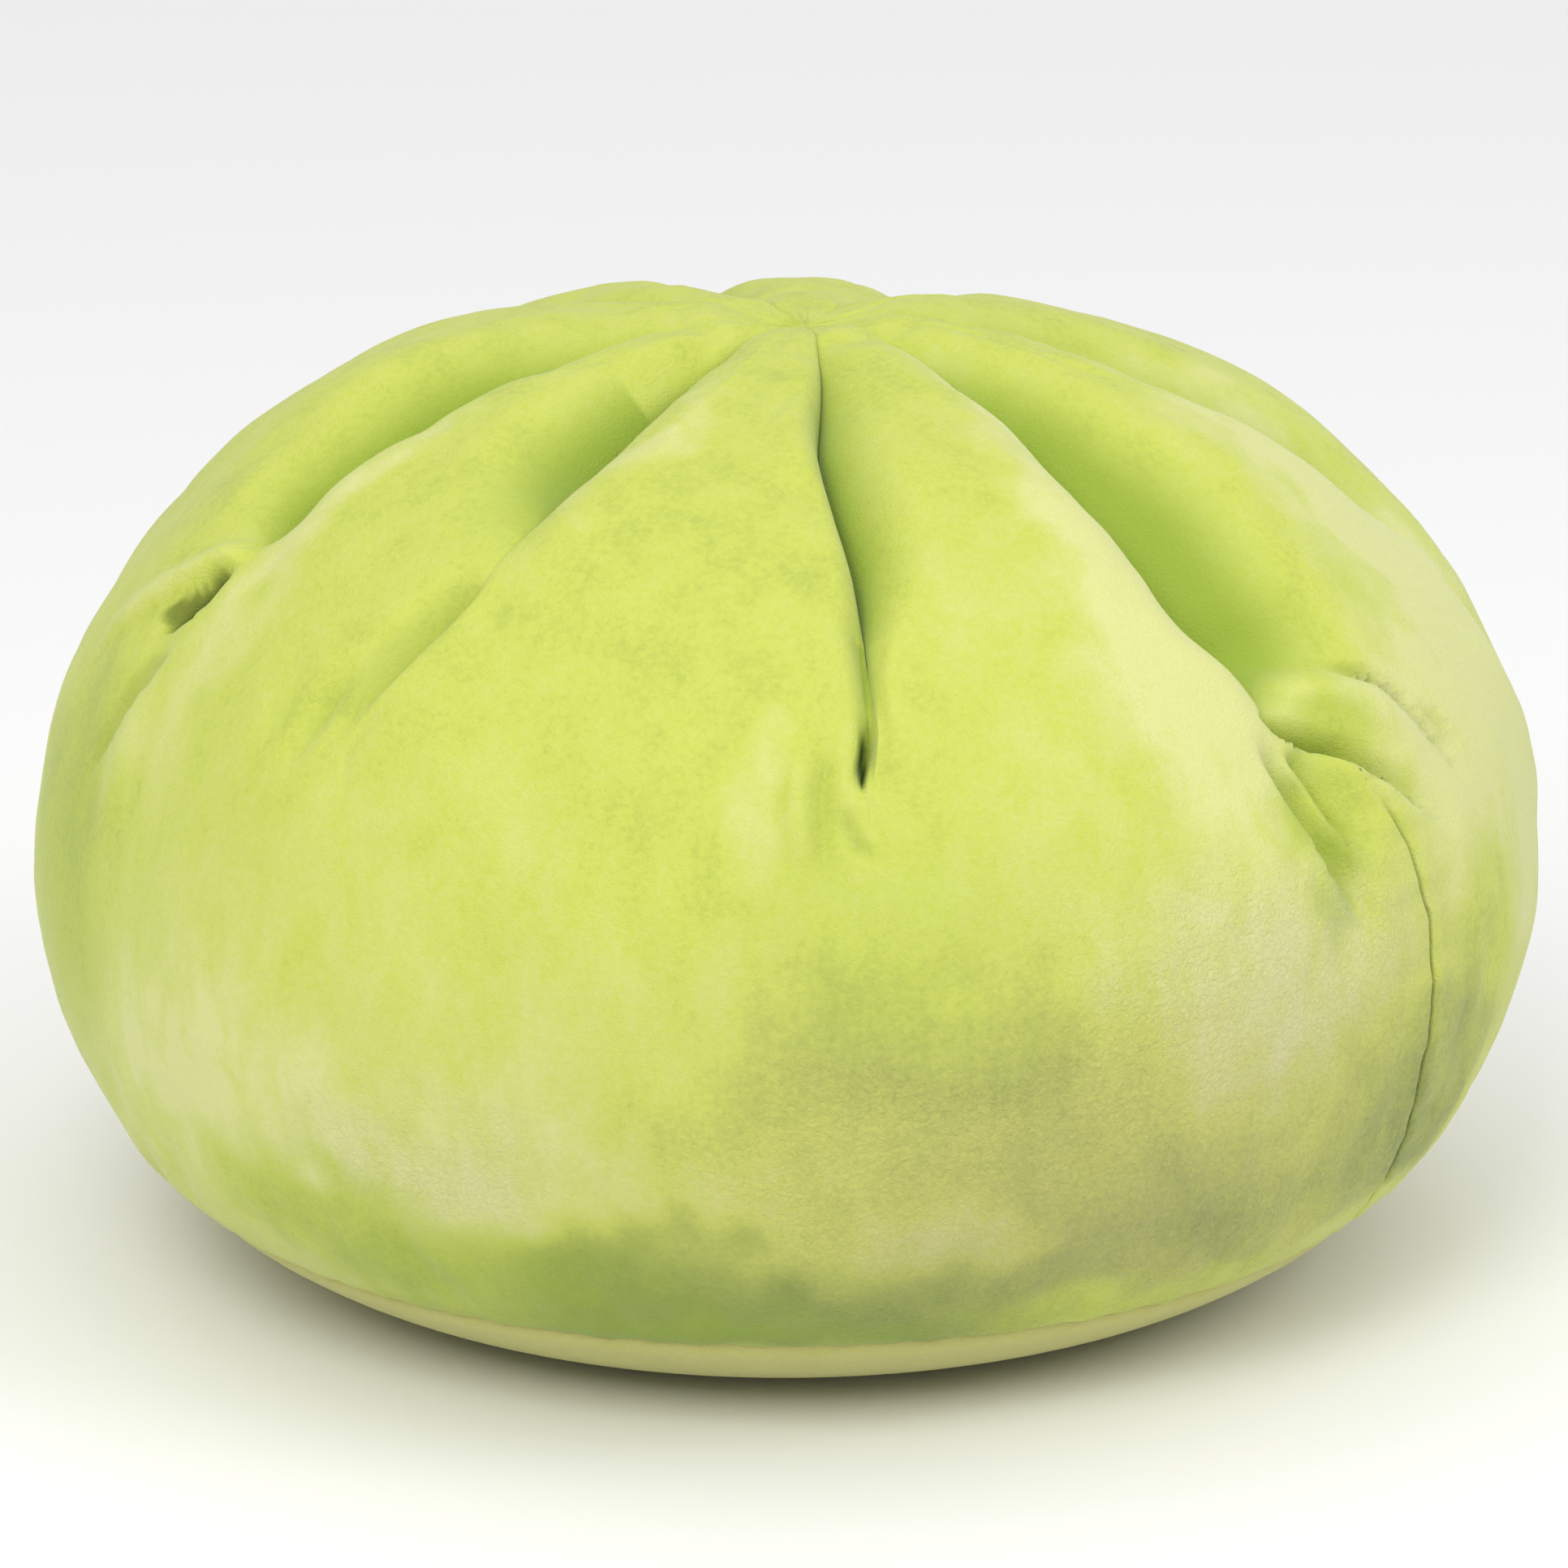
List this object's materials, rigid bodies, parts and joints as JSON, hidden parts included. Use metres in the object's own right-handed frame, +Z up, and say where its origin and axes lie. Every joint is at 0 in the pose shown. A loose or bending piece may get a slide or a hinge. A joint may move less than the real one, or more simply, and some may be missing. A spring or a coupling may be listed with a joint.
{
  "type": "dumpling cushion",
  "caption": "Round stuffed floor cushion shaped like a steamed dumpling, its velour cover gathered into deep pleats at the crown and closed below by a round base panel.",
  "frame": {"origin": "on the surface that the cushion rests on, under the middle of the cushion", "axes": "+Z up, -Y towards the front that the picture shows, +X to the right of it"},
  "size_m": [0.4998, 0.4997, 0.3189],
  "materials": {
    "velour_body": "short pile, soft sheen, brushed patches",
    "velour_base": "short pile, soft sheen",
    "thread": "spun polyester, matte"
  },
  "bodies": {
    "root": {"body": "velour_body", "base_panel": "velour_base"}
  },
  "joints": []
}
